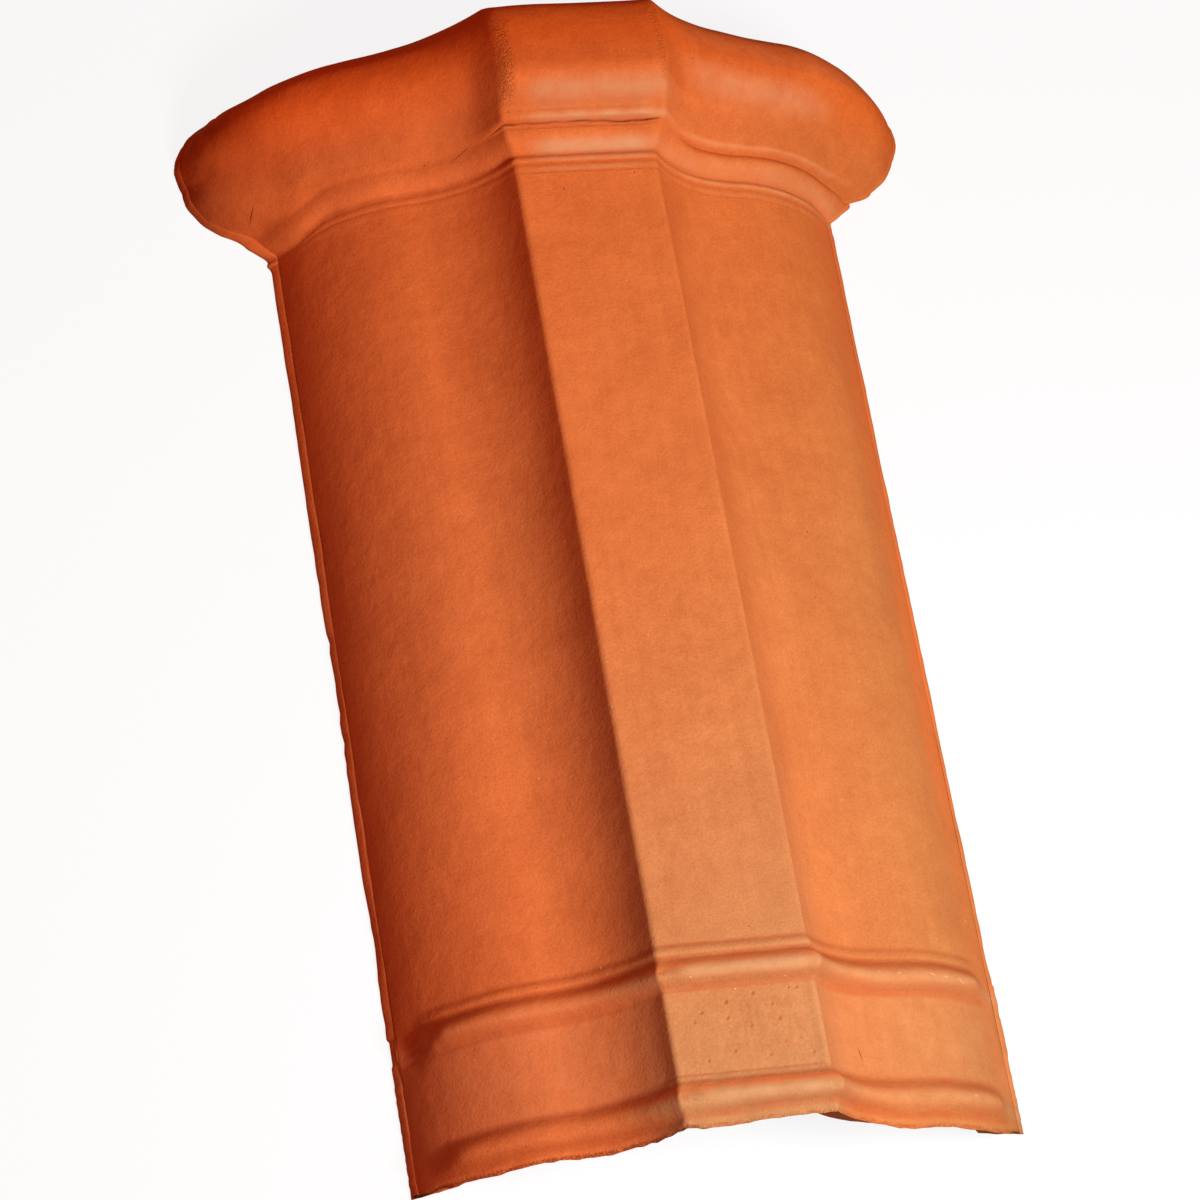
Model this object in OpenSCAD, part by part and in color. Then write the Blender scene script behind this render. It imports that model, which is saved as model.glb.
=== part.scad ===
// A clay ridge tile: one fired shell with a flat rib, ogee flanks, a beaded spigot and a hollow roll head.
// Millimetres, +Z up, the base edges on z = 0, the head towards +Y.

/* [Body] */
// overall length, spigot end to head end
length = 463; // [380:1:540]
// width of the body over both base lips
body_w = 235; // [190:1:290]
// height of the rib's flat top above the base
body_h = 65; // [56:0.5:80]
// thickness of the clay
wall = 13; // [9:0.5:16]

/* [Section of the body] */
// width of the rib's flat top
rib_w = 57; // [46:0.5:68]
// width between the feet of the rib's slopes
rib_foot_w = 90; // [80:0.5:104]
// height of the feet of the rib's slopes
rib_foot_h = 43; // [38:0.5:48]
// width between the shoulders of the flanks
shoulder_w = 202; // [180:1:214]
// height of the shoulders of the flanks
shoulder_h = 27; // [22:0.5:34]
// rounding of the rib's top edges
rib_edge_r = 4; // [2:0.5:8]
// hollow rounding at the rib's feet
rib_foot_r = 28; // [14:1:36]
// rounding of the shoulders
shoulder_r = 50; // [30:1:60]

/* [Base lip] */
// how far the lip stands out at the base
lip_w = 3; // [1.5:0.25:5]
// height of the lip
lip_h = 3; // [2:0.25:4]
// how far the lip stands out along the spigot
spigot_lip_w = 2; // [1:0.25:3]

/* [Spigot mouldings] */
// plain edge between the spigot's end and its end bead
end_land_l = 5.5; // [2:0.1:8]
// how far the end face slopes back under the plain edge
end_undercut_l = 6; // [2:0.5:9]
// length of the end bead
end_bead_l = 11; // [7:0.5:15]
// height of the end bead
end_bead_h = 3.5; // [2:0.25:5]
// length of the plain panel between the beads
panel_l = 36; // [24:1:48]
// length of the stop bead
stop_bead_l = 11; // [7:0.5:15]
// height of the stop bead
stop_bead_h = 4; // [2:0.25:6]

/* [Fine beads] */
// length of a fine bead
fine_bead_l = 3.3; // [2:0.1:5]
// height of a fine bead
fine_bead_h = 1.3; // [0.6:0.1:2.5]
// width of the groove beside a fine bead
groove_l = 0.5; // [0.3:0.1:1.5]

/* [Head mouldings] */
// length of the quarter-round step below the roll
astragal_l = 9; // [5:0.5:13]
// height of the quarter-round step
astragal_h = 6; // [3:0.5:8]
// length of the sharp step up to the roll
step_l = 0.6; // [0.3:0.1:1.5]

/* [Roll head] */
// length of the roll
roll_l = 52; // [44:1:64]
// length of the roll's front, from its foot to its crest
roll_front_l = 24; // [20:0.5:27]
// height of the roll's foot above the body's face
roll_seat_h = 10; // [8:0.5:13]
// width of the head over both base lips
head_w = 304; // [285:1:330]
// height of the roll's crest above the base
head_h = 88.5; // [84:0.5:98]
// width of the rib's flat top on the roll's crest
roll_rib_w = 65; // [56:0.5:72]
// width between the rib's feet on the roll's crest
roll_foot_w = 87; // [80:0.5:98]
// height of the rib's feet on the roll's crest
roll_foot_h = 80; // [76:0.5:83]
// width between the shoulders on the roll's crest
roll_shoulder_w = 272; // [250:1:280]
// height of the shoulders on the roll's crest
roll_shoulder_h = 36; // [30:0.5:44]
// rounding of the rib's edges on the roll's crest
roll_edge_r = 8; // [4:0.5:14]
// hollow rounding at the rib's feet on the roll's crest
roll_foot_r = 26; // [14:1:36]
// rounding of the shoulders on the roll's crest
roll_shoulder_r = 44; // [28:1:56]

/* [Socket under the head] */
// room left all round the next tile's spigot
socket_gap = 3; // [1.5:0.25:5]
// clay between the roll's foot and the socket's floor
socket_floor_t = 7; // [5:0.5:10]
// length of the slope from the channel up to the socket
socket_slope_l = 18; // [12:1:26]
// clay left before and behind the hollow of the roll
hollow_rim_t = 10; // [8:0.5:14]

/* [Hidden] */
clay = "#c8622e";

// steps round the rib's edge, the rib's foot and the shoulder
corner_steps = [4, 6, 8];
// steps along a fine bead, a round bead, the quarter round and the roll
fine_steps = 4;
bead_steps = 8;
astragal_steps = 5;
roll_steps = 18;

// shares of a straight stretch that one rounding may use, between two roundings and at the base
mid_share = 0.48;
base_share = 0.78;
// the spigot's beads die away between these shares of the half width
fade_shares = [0.86, 0.96];

base_x = body_w / 2 - lip_w;
roll_base_x = head_w / 2 - lip_w;

stop_bead_y = end_land_l + end_bead_l + panel_l;
spigot_fine_y = stop_bead_y + stop_bead_l + groove_l;
spigot_l = spigot_fine_y + fine_bead_l;
roll_y = length - roll_l;
astragal_y = roll_y - step_l - astragal_l;
upper_fine_y = astragal_y - groove_l - fine_bead_l;
lower_fine_y = upper_fine_y - groove_l - fine_bead_l;
socket_y = roll_y + socket_floor_t;
crest_y = roll_y + roll_front_l;
roll_back_l = roll_l - roll_front_l;

// corners of the half section from the crown to the base, before rounding
body_corners = [
    [0, body_h],
    [rib_w / 2, body_h],
    [rib_foot_w / 2, rib_foot_h],
    [shoulder_w / 2, shoulder_h],
    [base_x, 0]
];
body_radii = [rib_edge_r, rib_foot_r, shoulder_r];
roll_corners = [
    [0, head_h],
    [roll_rib_w / 2, head_h],
    [roll_foot_w / 2, roll_foot_h],
    [roll_shoulder_w / 2, roll_shoulder_h],
    [roll_base_x, 0]
];
roll_radii = [roll_edge_r, roll_foot_r, roll_shoulder_r];

function unit(v) = v / norm(v);

// outward direction square to the stretch from a to b
function outward(a, b) = let (u = unit(b - a)) [-u[1], u[0]];

// corners moved outwards by d, square to the stretches beside them, the last one staying on the base
function grown(c, d) = [
    for (i = [0 : len(c) - 1])
        let (
            before = outward(c[max(i - 1, 0)], c[max(i, 1)]),
            after = outward(c[min(i, len(c) - 2)], c[min(i + 1, len(c) - 1)])
        )
        i == 0 ? c[i] + [0, d] :
        i == len(c) - 1 ? c[i] + [d / before[0], 0] :
        c[i] + (before + after) * d / (1 + before * after)
];

// points round the corner b between a and c, where reach is the longest tangent allowed
function bend(a, b, c, r, reach, steps) =
    let (
        u = unit(a - b),
        v = unit(c - b),
        half = acos(u * v) / 2,
        t = min(r / tan(half), reach),
        middle = b + unit(u + v) * t / cos(half),
        p = b + u * t - middle,
        q = b + v * t - middle,
        turn = sign(cross(p, q)) * (180 - 2 * half)
    )
    [
        for (k = [0 : steps])
            let (at = turn * k / steps)
            middle + [p[0] * cos(at) - p[1] * sin(at), p[0] * sin(at) + p[1] * cos(at)]
    ];

// half section through rounded corners
function rounded(c, radii) = [
    c[0],
    for (i = [1 : len(radii)])
        let (
            last = i == len(radii) ? base_share : mid_share,
            reach = min(norm(c[i] - c[i - 1]) * mid_share, norm(c[i + 1] - c[i]) * last)
        )
        each bend(c[i - 1], c[i], c[i + 1], radii[i - 1], reach, corner_steps[i - 1]),
    c[len(c) - 1]
];

function blend(a, b, share) = [for (i = [0 : len(a) - 1]) a[i] + (b[i] - a[i]) * share];

body_face = rounded(body_corners, body_radii);
channel_face = rounded(grown(body_corners, -wall), body_radii);
socket_face = rounded(grown(body_corners, socket_gap), body_radii);
seat_face = rounded(grown(body_corners, roll_seat_h), body_radii);
roll_face = rounded(roll_corners, roll_radii);
hollow_face = rounded(grown(roll_corners, -wall), roll_radii);

function ease(share) = let (s = min(max(share, 0), 1)) s * s * (3 - 2 * s);

// the body's face raised by d, dying away towards the base where the moulding fades
function raised(d, fades) =
    let (up = rounded(grown(body_corners, d), body_radii))
    [
        for (i = [0 : len(up) - 1])
            let (
                out = body_face[i][0] / base_x,
                gone = ease((out - fade_shares[0]) / (fade_shares[1] - fade_shares[0]))
            )
            body_face[i] + (up[i] - body_face[i]) * (fades ? 1 - gone : 1)
    ];

// half round: each entry is [y, outer half section, lip width]
function bead(y, l, h, steps, fades, lip) = [
    for (i = [0 : steps])
        let (at = 180 * i / steps)
        [y + l / 2 * (1 - cos(at)), raised(h * sin(at), fades), lip]
];

function astragal() = [
    for (i = [0 : astragal_steps])
        let (at = 90 * i / astragal_steps)
        [astragal_y + astragal_l * (1 - cos(at)), raised(astragal_h * sin(at), false), lip_w]
];

// length of the roll before its crest for a place below zero, behind it for others
function beside(place) = place < 0 ? roll_front_l : roll_back_l;

function roll() = [
    for (i = [0 : roll_steps])
        let (at = 180 * i / roll_steps)
        [crest_y - cos(at) * beside(at - 90), blend(seat_face, roll_face, sin(at)), lip_w]
];

stations = [
    [0, body_face, spigot_lip_w],
    each bead(end_land_l, end_bead_l, end_bead_h, bead_steps, true, spigot_lip_w),
    each bead(stop_bead_y, stop_bead_l, stop_bead_h, bead_steps, true, spigot_lip_w),
    each bead(spigot_fine_y, fine_bead_l, fine_bead_h, fine_steps, true, lip_w),
    each bead(lower_fine_y, fine_bead_l, fine_bead_h, fine_steps, false, lip_w),
    each bead(upper_fine_y, fine_bead_l, fine_bead_h, fine_steps, false, lip_w),
    each astragal(),
    each roll()
];

// inner half section: the channel, the slope up to the socket and the hollow of the roll
function inside(y) =
    let (
        climb = ease((y - socket_y + socket_slope_l) / socket_slope_l),
        off = (y - crest_y) / (beside(y - crest_y) - hollow_rim_t),
        arch = sqrt(max(1 - off * off, 0)),
        floor_face = blend(channel_face, socket_face, climb)
    )
    [for (i = [0 : len(floor_face) - 1]) floor_face[i] + (hollow_face[i] - socket_face[i]) * arch];

// outer half section with the base lip put on
function lipped(face, lip) =
    let (
        base = face[len(face) - 1],
        above = face[len(face) - 2],
        foot = base + (above - base) * lip_h / above[1]
    )
    [
        for (i = [0 : len(face) - 2]) face[i],
        foot,
        [base[0] + lip, lip_h],
        [base[0] + lip, 0]
    ];

function mirrored(face) = [for (i = [len(face) - 1 : -1 : 1]) [-face[i][0], face[i][1]]];

function reversed(v) = [for (i = [len(v) - 1 : -1 : 0]) v[i]];

function placed(face, y) = [for (p = face) [p[0], y - length / 2, p[1]]];

// full closed outline at one station, outside from left to right and inside back again,
// the inside starting further back along the spigot
function outline(station) =
    let (
        y = station[0],
        back = end_undercut_l * max(1 - y / spigot_l, 0),
        out = lipped(station[1], station[2]),
        within = inside(y)
    )
    concat(
        placed(concat(mirrored(out), out), y),
        placed(reversed(concat(mirrored(within), within)), y + back)
    );

rings = [for (s = stations) outline(s)];
ring_n = len(rings[0]);
within_n = 2 * len(channel_face) - 1;
out_n = ring_n - within_n;

// the walls between stations
skin = [
    for (i = [0 : len(rings) - 2], j = [0 : ring_n - 1])
        let (
            a = i * ring_n + j,
            b = i * ring_n + (j + 1) % ring_n,
            c = a + ring_n,
            d = b + ring_n
        )
        each [[a, c, b], [b, c, d]]
];

// an end face as a strip of triangles between the outer and the inner edge
function end_face(first) = [
    for (k = [0 : out_n - 2])
        let (
            a = ring_n - 1 - round(k * (within_n - 1) / (out_n - 1)),
            b = ring_n - 1 - round((k + 1) * (within_n - 1) / (out_n - 1))
        )
        each concat(
            [[first + k, first + k + 1, first + a]],
            a == b ? [] : [[first + k + 1, first + b, first + a]]
        )
];

module ridge_tile() {
    color(clay)
        polyhedron(
            points = [for (r = rings) each r],
            faces = concat(
                skin,
                end_face(0),
                [for (f = end_face((len(rings) - 1) * ring_n)) reversed(f)]
            )
        );
}

ridge_tile();
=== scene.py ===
import bpy
import numpy as np
from mathutils import Matrix


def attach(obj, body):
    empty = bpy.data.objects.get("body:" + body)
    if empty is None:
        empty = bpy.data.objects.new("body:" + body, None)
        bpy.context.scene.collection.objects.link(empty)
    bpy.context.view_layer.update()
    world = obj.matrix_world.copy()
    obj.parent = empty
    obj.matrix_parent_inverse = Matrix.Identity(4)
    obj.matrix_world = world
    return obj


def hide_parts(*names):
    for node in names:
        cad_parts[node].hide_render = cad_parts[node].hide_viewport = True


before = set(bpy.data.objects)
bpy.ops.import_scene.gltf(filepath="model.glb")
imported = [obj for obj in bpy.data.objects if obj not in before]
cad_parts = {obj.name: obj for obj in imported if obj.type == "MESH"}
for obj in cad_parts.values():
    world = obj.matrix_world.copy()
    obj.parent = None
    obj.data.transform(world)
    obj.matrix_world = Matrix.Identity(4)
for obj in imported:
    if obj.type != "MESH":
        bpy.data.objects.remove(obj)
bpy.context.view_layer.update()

mm = 0.001
far = np.inf  # the open end of a band
print("frame loaded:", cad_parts)


# sRGB hex to linear RGBA
def linear(hexText):
    parts = [int(hexText[i:i + 2], 16) / 255 for i in (1, 3, 5)]
    return [p / 12.92 if p <= 0.04045 else ((p + 0.055) / 1.055) ** 2.4 for p in parts] + [1.0]


# adds a node: settings by name, sockets by value or by the output that feeds them
def addNode(tree, kind, sockets=None, **settings):
    made = tree.nodes.new(kind)
    for name, value in settings.items():
        setattr(made, name, value)
    for key, value in (sockets or {}).items():
        if isinstance(value, bpy.types.NodeSocket):
            tree.links.new(value, made.inputs[key])
        else:
            made.inputs[key].default_value = value
    return made


def addObject(name, data):
    made = bpy.data.objects.new(name, data)
    bpy.context.scene.collection.objects.link(made)
    return made


# turns and places an object by its three axes
def setAxes(thing, right, up, back, place):
    columns = (right, up, back, place)
    thing.matrix_world = Matrix([[column[i] for column in columns] for i in range(3)] + [[0, 0, 0, 1]])


# the camera of the photo: axes, place and clipStart in metres, lens and sensor in millimetres
photoCamera = {
    "right": (0.9693, -0.1609, 0.1858), "up": (0.0676, 0.9011, 0.4282), "back": (-0.2363, -0.4025, 0.8844),
    "place": (-0.3965, -0.6556, 1.4525), "lens": 125.46, "sensor": 36.0, "clipStart": 0.01,
}
cameraData = bpy.data.cameras.new("photoCamera")
cameraData.lens = photoCamera["lens"]
cameraData.sensor_width = photoCamera["sensor"]
cameraData.clip_start = photoCamera["clipStart"]
camera = addObject("photoCamera", cameraData)
setAxes(camera, *(photoCamera[name] for name in ("right", "up", "back", "place")))
bpy.context.scene.camera = camera
print("camera set")


# the tile in millimetres, s from the spigot's end; a bead is its start, width and height
tile = {
    "length": 463, "wall": 13, "lipWidth": 3, "lipHeight": 3,
    "body": {"width": 235, "height": 65, "rib": 57, "foot": (88, 42.5), "shoulder": (199.5, 32.5)},
    "head": {"width": 304, "height": 88.5, "rib": 65, "foot": (96, 74), "shoulder": (272, 36)},
    "bodyRounds": (3, 54, 65), "headRounds": (8, 90, 80),
    "roundReach": ((0.3, 0.15), (0.85, 0.41), (0.59, 0.96)),  # most of the stretches beside each round
    "spigotBeads": ((5.5, 11, 4.4), (52.5, 11, 4.9)), "beadCrest": 0.4,  # share of the bead's width
    "fineBeads": ((64, 3.3, 1.1), (393.8, 3.3, 0.22), (397.6, 3.3, 0.85)),
    "leastBead": 1e-6, "beadFade": (0.86, 0.96),  # shares of the half width over which beads die out
    "astragal": (401.4, 9, 6), "astragalTurns": (90, 126), "stepRise": 1,  # degrees on the rib and the flanks
    "rollStart": 411, "rollCrest": 435, "rollLip": 1.6, "rollSeats": (10, 8.2),  # on the rib and the flanks
    "flankReach": (40, far, 12),
    "socketGap": 3, "endUndercut": 6, "spigotLength": 67.3,
    "socketFloor": 418, "socketSlope": 18, "hollowRim": 10,
    "outerRuns": (20, 6, 14, 6), "outerArcs": (8, 14, 22),  # mesh steps across half the section
}
half = tile["length"] / 2
rollFront = tile["rollCrest"] - tile["rollStart"]
rollBack = tile["length"] - tile["rollCrest"]
sides = ("left", "right")


# section corners from the crown to the base
def cornersOf(part):
    return np.array([
        (0, part["height"]), (part["rib"] / 2, part["height"]), (part["foot"][0] / 2, part["foot"][1]),
        (part["shoulder"][0] / 2, part["shoulder"][1]), (part["width"] / 2 - tile["lipWidth"], 0)], float)


def unit(v):
    return v / np.linalg.norm(v)


# corners moved square to the stretches beside them, the last one staying on the base
def grown(corners, d):
    legs = np.diff(corners, axis=0)
    legs = legs / np.linalg.norm(legs, axis=1)[:, None]
    square = np.c_[-legs[:, 1], legs[:, 0]]
    out = corners.copy()
    out[0] += (0, d)
    out[-1] += (d / square[-1, 0], 0)
    for i in range(1, len(corners) - 1):
        out[i] += (square[i - 1] + square[i]) * d / (1 + square[i - 1] @ square[i])
    return out


# arc that rounds the corner b between a and c
def bend(a, b, c, radius, reach, steps):
    u, v = unit(a - b), unit(c - b)
    halfAngle = np.arccos(u @ v) / 2
    t = min(radius / np.tan(halfAngle), reach)
    centre = b + unit(u + v) * t / np.cos(halfAngle)
    p, q = b + u * t - centre, b + v * t - centre
    turn = np.sign(p[0] * q[1] - p[1] * q[0]) * (np.pi - 2 * halfAngle)
    at = turn * np.arange(steps + 1) / steps
    return centre + np.c_[p[0] * np.cos(at) - p[1] * np.sin(at), p[0] * np.sin(at) + p[1] * np.cos(at)]


# evenly spaced points after a, up to b
def stretch(a, b, count):
    return a + (b - a) * (np.arange(1, count + 1)[:, None] / count)


# half section from the crown to the base: straight runs and rounds, always the same number of points
def halfSection(corners, rounds, runs, arcs):
    points = [corners[:1]]
    for i, (before, after) in enumerate(tile["roundReach"]):
        a, b, c = corners[i:i + 3]
        reach = min(np.linalg.norm(b - a) * before, np.linalg.norm(c - b) * after)
        arc = bend(a, b, c, rounds[i], reach, arcs[i])
        points += [stretch(points[-1][-1], arc[0], runs[i]), arc[1:]]
    points.append(stretch(points[-1][-1], corners[-1], runs[-1]))
    return np.concatenate(points)


def ease(t):
    t = np.clip(t, 0, 1)
    return t * t * (3 - 2 * t)


# 1 inside low..high, falling to 0 over the soft width outside
def band(value, low, high, soft, softHigh=None):
    return ease((value - low) / soft + 1) * ease((high - value) / (softHigh or soft) + 1)


# 1 at a place, falling off on both sides
def bell(value, at, width):
    return np.exp(-((value - at) / width) ** 2)


# seeded lattice noise, -1 to 1, for places across u and along v
def lattice(u, v, size, seed, cells=128):
    table = np.random.default_rng(seed).uniform(-1, 1, (cells, cells))
    a, b = np.broadcast_arrays(np.asarray(u, float) / size, np.asarray(v, float) / size)
    i, j = np.floor(a).astype(int), np.floor(b).astype(int)
    f, g = (t ** 3 * (t * (6 * t - 15) + 10) for t in (a - i, b - j))
    corner = [table[(i + p) % cells, (j + q) % cells] for p in (0, 1) for q in (0, 1)]
    return (corner[0] * (1 - g) + corner[1] * g) * (1 - f) + (corner[2] * (1 - g) + corner[3] * g) * f


# sum of noises, each an amount, a size and a seed
def waves(u, v, parts):
    return sum(amount * lattice(u, v, size, seed) for amount, size, seed in parts)


outerCounts = (tile["outerRuns"], tile["outerArcs"])
innerCounts = tuple(tuple(n // 2 for n in counts) for counts in outerCounts)
bodyCorners, headCorners = cornersOf(tile["body"]), cornersOf(tile["head"])


# the body's half section, moved out by d
def bodyGrown(d, counts=outerCounts):
    return halfSection(grown(bodyCorners, d), tile["bodyRounds"], *counts)


bodyFace = bodyGrown(0)
rollFace = halfSection(headCorners, tile["headRounds"], *outerCounts)
fadeFrom, fadeTo = tile["beadFade"]
beadLeft = 1 - ease((bodyFace[:, :1] / bodyCorners[-1, 0] - fadeFrom) / (fadeTo - fadeFrom))
offRib = band(bodyFace[:, :1], *tile["flankReach"])
# the roll's foot steps up from the astragal, less on the flanks than on the rib
astragalTop = tile["astragal"][2]
seatFace, stepFace = (
    bodyGrown(onRib) * (1 - offRib) + bodyGrown(onFlank) * offRib
    for onRib, onFlank in (tile["rollSeats"], (astragalTop + tile["stepRise"], astragalTop)))


# fine bead: a half round
def halfRound(s, start, width, rise):
    off = (s - start - width / 2) / (width / 2)
    return rise * np.sqrt(max(1 - off * off, 0))


# spigot bead: a round front, then a longer slope down its back
def slopedBead(s, start, width, rise):
    crest = tile["beadCrest"]
    past = (s - start) / width - crest
    if past < 0:
        return rise * np.sqrt(max(1 - (past / crest) ** 2, 0))
    return rise * np.cos(min(past / (1 - crest), 1) * np.pi / 2)


# the roll swells in an ogee: a cove in front, then the hump, sooner on the rib than on the flanks;
# on the left it climbs in one slack slope instead. For each place across, cove and crest are millimetres
# past the roll's foot, coveRise is a share of the swelling and back is the power of its fall
roll = {
    "across": (0, 30, 45, 80, 105, 128, 150),
    "cove": (6, 6, 13, 14, 15, 14, 3), "back": (2.5, 2.5, 2.5, 2.6, 2.6, 2.3, 2.0),
    "left": {"coveRise": (0.25, 0.25, 0.5, 0.5, 0.5, 0.5, 0.3), "crest": (18, 18, 30, 32, 36, 36, 28)},
    "right": {"coveRise": (0.25, 0.25, 0.38, 0.38, 0.36, 0.3, 0.3), "crest": (18, 18, 28, 30, 33, 33, 28)},
}


# smooth values between a few given ones
def between(x, places, values):
    i = np.clip(np.searchsorted(places, x) - 1, 0, len(places) - 2)
    places, values = np.array(places, float), np.array(values, float)
    return values[i] + (values[i + 1] - values[i]) * ease((x - places[i]) / (places[i + 1] - places[i]))


rollShape = {}
for side in sides:
    curves = (roll["cove"], roll[side]["coveRise"], roll[side]["crest"], roll["back"])
    rollShape[side] = [between(rollFace[:, :1], roll["across"], values) for values in curves]


# share of the roll's swelling at each column, past its foot by a distance in millimetres
def rollRise(past, side):
    cove, coveRise, crest, back = rollShape[side]
    hump = coveRise + (1 - coveRise) * np.sin(np.clip((past - cove) / (crest - cove), 0, 1) * np.pi / 2)
    fall = np.clip((past - crest) / (tile["length"] - tile["rollStart"] - crest), 0, 1)
    return np.where(past < cove, coveRise * past / cove, hump) * (1 - fall ** back) ** (1 / back)


# outer half section at a distance s from the spigot's end
def faceAt(s, side):
    if s >= tile["rollStart"]:
        past = s - tile["rollStart"]
        foot = np.sqrt(1 - (1 - min(past / tile["rollLip"], 1)) ** 2)
        return stepFace + (seatFace - stepFace) * foot + (rollFace - seatFace) * rollRise(past, side)
    start, width, rise = tile["astragal"]
    if s > start:
        turned = min((s - start) / width, 1)
        step = tile["stepRise"] * max(s - start - width, 0) / (tile["rollStart"] - start - width)
        onRib, onFlank = (
            bodyGrown(rise * np.sin(turned * np.radians(turn)) + step) for turn in tile["astragalTurns"])
        return onRib + (onFlank - onRib) * offRib
    rise = sum(slopedBead(s, *bead) for bead in tile["spigotBeads"])
    rise += sum(halfRound(s, *bead) for bead in tile["fineBeads"])
    if rise < tile["leastBead"]:
        return bodyFace
    return bodyFace + (bodyGrown(rise) - bodyFace) * beadLeft


# rows along the tile, close together where there are mouldings: from, to and step
rowPlan = {
    "edge": (0, 0.35, 0.8, 1.3),
    "runs": ((1.9, 70, 0.74), (71, 389, 4.2), (389.5, 409.4, 0.55), (409.6, 413.6, 0.22)),
    "frontTurns": (28.2, 90, 2.2), "backTurns": (0, 90.1, 2.25),  # degrees round the roll
    "sample": 0.15,
}
frontTurns, backTurns = (np.radians(np.arange(*rowPlan[name])) for name in ("frontTurns", "backTurns"))
rows = np.concatenate([
    rowPlan["edge"], *(np.arange(*run) for run in rowPlan["runs"]),
    tile["rollCrest"] - rollFront * np.cos(frontTurns), tile["rollCrest"] + rollBack * np.sin(backTurns)])
rows = np.unique(np.round(rows, 3))
rowCount = len(rows)
samples = np.arange(0, tile["length"] + rowPlan["sample"] / 2, rowPlan["sample"])
sharp = {side: np.array([faceAt(s, side) for s in samples]) for side in sides}


# sections at the rows, softened along the length as pressed clay is
def softened(side, spread):
    near = np.exp(-((rows[:, None] - samples) / spread[:, None]) ** 2 / 2)
    return np.einsum("rf,fpc->rpc", near / near.sum(1, keepdims=True), sharp[side])


# how far along the mouldings are softened: crisp on the rib, blunt on the flanks
softening = {
    "spigotEnd": 71, "crispSpigot": 0.8, "crispHead": 0.4, "crispRoll": 1.2,
    "bluntSpigot": {"left": 1.0, "right": 1.6}, "bluntHead": ((398, 404), (0.9, 2.4)), "bluntRoll": 1.6,
    "roll": (415.5, 450, 3, 8), "flank": (42, far, 14),
    "rightSpigot": 0.6, "rightRoll": (421, 440, 5), "besideRib": ((31, 40, 9), (404, 424, 6)),
}
onSpigot = rows < softening["spigotEnd"]
onRoll = band(rows, *softening["roll"])
crispSpread = np.where(onSpigot, softening["crispSpigot"], softening["crispHead"])
crispSpread += softening["crispRoll"] * onRoll
bluntHead = np.interp(rows, *softening["bluntHead"])
softFace = {}
for side in sides:
    bluntSpread = np.where(onSpigot, softening["bluntSpigot"][side], bluntHead)
    bluntSpread += softening["bluntRoll"] * onRoll
    crisp, blunt = softened(side, crispSpread), softened(side, bluntSpread)
    smear = band(crisp[..., 0], *softening["flank"])
    if side == "right":  # crisp there, apart from the spigot, the roll's front and a strip beside the rib
        smear *= (softening["rightSpigot"] * onSpigot + band(rows, *softening["rightRoll"]))[:, None]
        nearRib, nearFoot = softening["besideRib"]
        smear = np.maximum(smear, band(crisp[..., 0], *nearRib) * band(rows, *nearFoot)[:, None])
    softFace[side] = crisp + (blunt - crisp) * smear[..., None]
print("sections made:", rowCount, "rows of", len(bodyFace), "points a side")


# the lip: flash squeezed out along the base, ragged, with changes where it is wider or broken off:
# from, to, soft edge and millimetres. Waves are a size along the tile and an amount, and their seeds
# count up from the side's own
flash = {
    "left": {
        "seed": 11, "wide": 1.3, "atSpigot": 0.8, "atHead": 1.0, "tall": 1.1, "wallOut": 2.9,
        "changes": ((396, 412, 6, 1.2), (227, 229, 2.2, -0.9), (56, 62, 3, -1.4), (182, 220, 12, -0.8),
                    (96, 120, 8, -0.8))},
    "right": {
        "seed": 23, "wide": 1.1, "atSpigot": 1.3, "atHead": 0.9, "tall": 0.75, "wallOut": 2.0,
        "changes": ((40, 62, 10, 0.6), (409, 414, 3, 0.4))},
    "waves": {"longWidth": (24, 0.20), "shortWidth": (7, 0.09), "fineWidth": (1.6, 0.12),
              "longHeight": (15, 0.12), "shortHeight": (3, 0.05), "change": (4, 0.4)},
    "spigotEnd": 64, "headReach": (420, far, 8), "leastWidth": 0.3, "wallHeight": 32,
    "acrossShares": (0.16, 0.34, 0.60, 0.84, 1.0, 0.98), "heightShares": (0.99, 0.86, 0.62, 0.38, 0.16, 0.0),
}
lipSteps = len(flash["acrossShares"])


def lipPoints(face, side):
    look = flash[side]
    wave = {name: amount * lattice(0, rows, size, look["seed"] + i)
            for i, (name, (size, amount)) in enumerate(flash["waves"].items())}
    width = np.where(rows < flash["spigotEnd"], look["atSpigot"], look["wide"])
    width = width + (look["atHead"] - width) * band(rows, *flash["headReach"])
    width = width * (1 + wave["longWidth"] + wave["shortWidth"]) + wave["fineWidth"]
    for low, high, soft, amount in look["changes"]:
        width += amount * band(rows, low, high, soft) * (1 + wave["change"])
    width = np.maximum(width, flash["leastWidth"])
    lipTop = tile["lipHeight"] * look["tall"] * (1 + wave["longHeight"] + wave["shortHeight"])
    base, above = face[:, -1], face[:, -2]
    foot = base + (above - base) * (lipTop / above[:, 1])[:, None]
    out = np.empty((rowCount, lipSteps + 1, 2))
    out[:, 0] = foot
    out[:, 1:, 0] = foot[:, :1] + (base[:, :1] + width[:, None] - foot[:, :1]) * flash["acrossShares"]
    out[:, 1:, 1] = lipTop[:, None] * flash["heightShares"]
    return out


def sideGrid(side):
    face = softFace[side].copy()
    face[..., 0] += flash[side]["wallOut"] * ease(1 - face[..., 1] / flash["wallHeight"])
    return np.concatenate([face[:, :-1], lipPoints(face, side)], axis=1)


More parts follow.
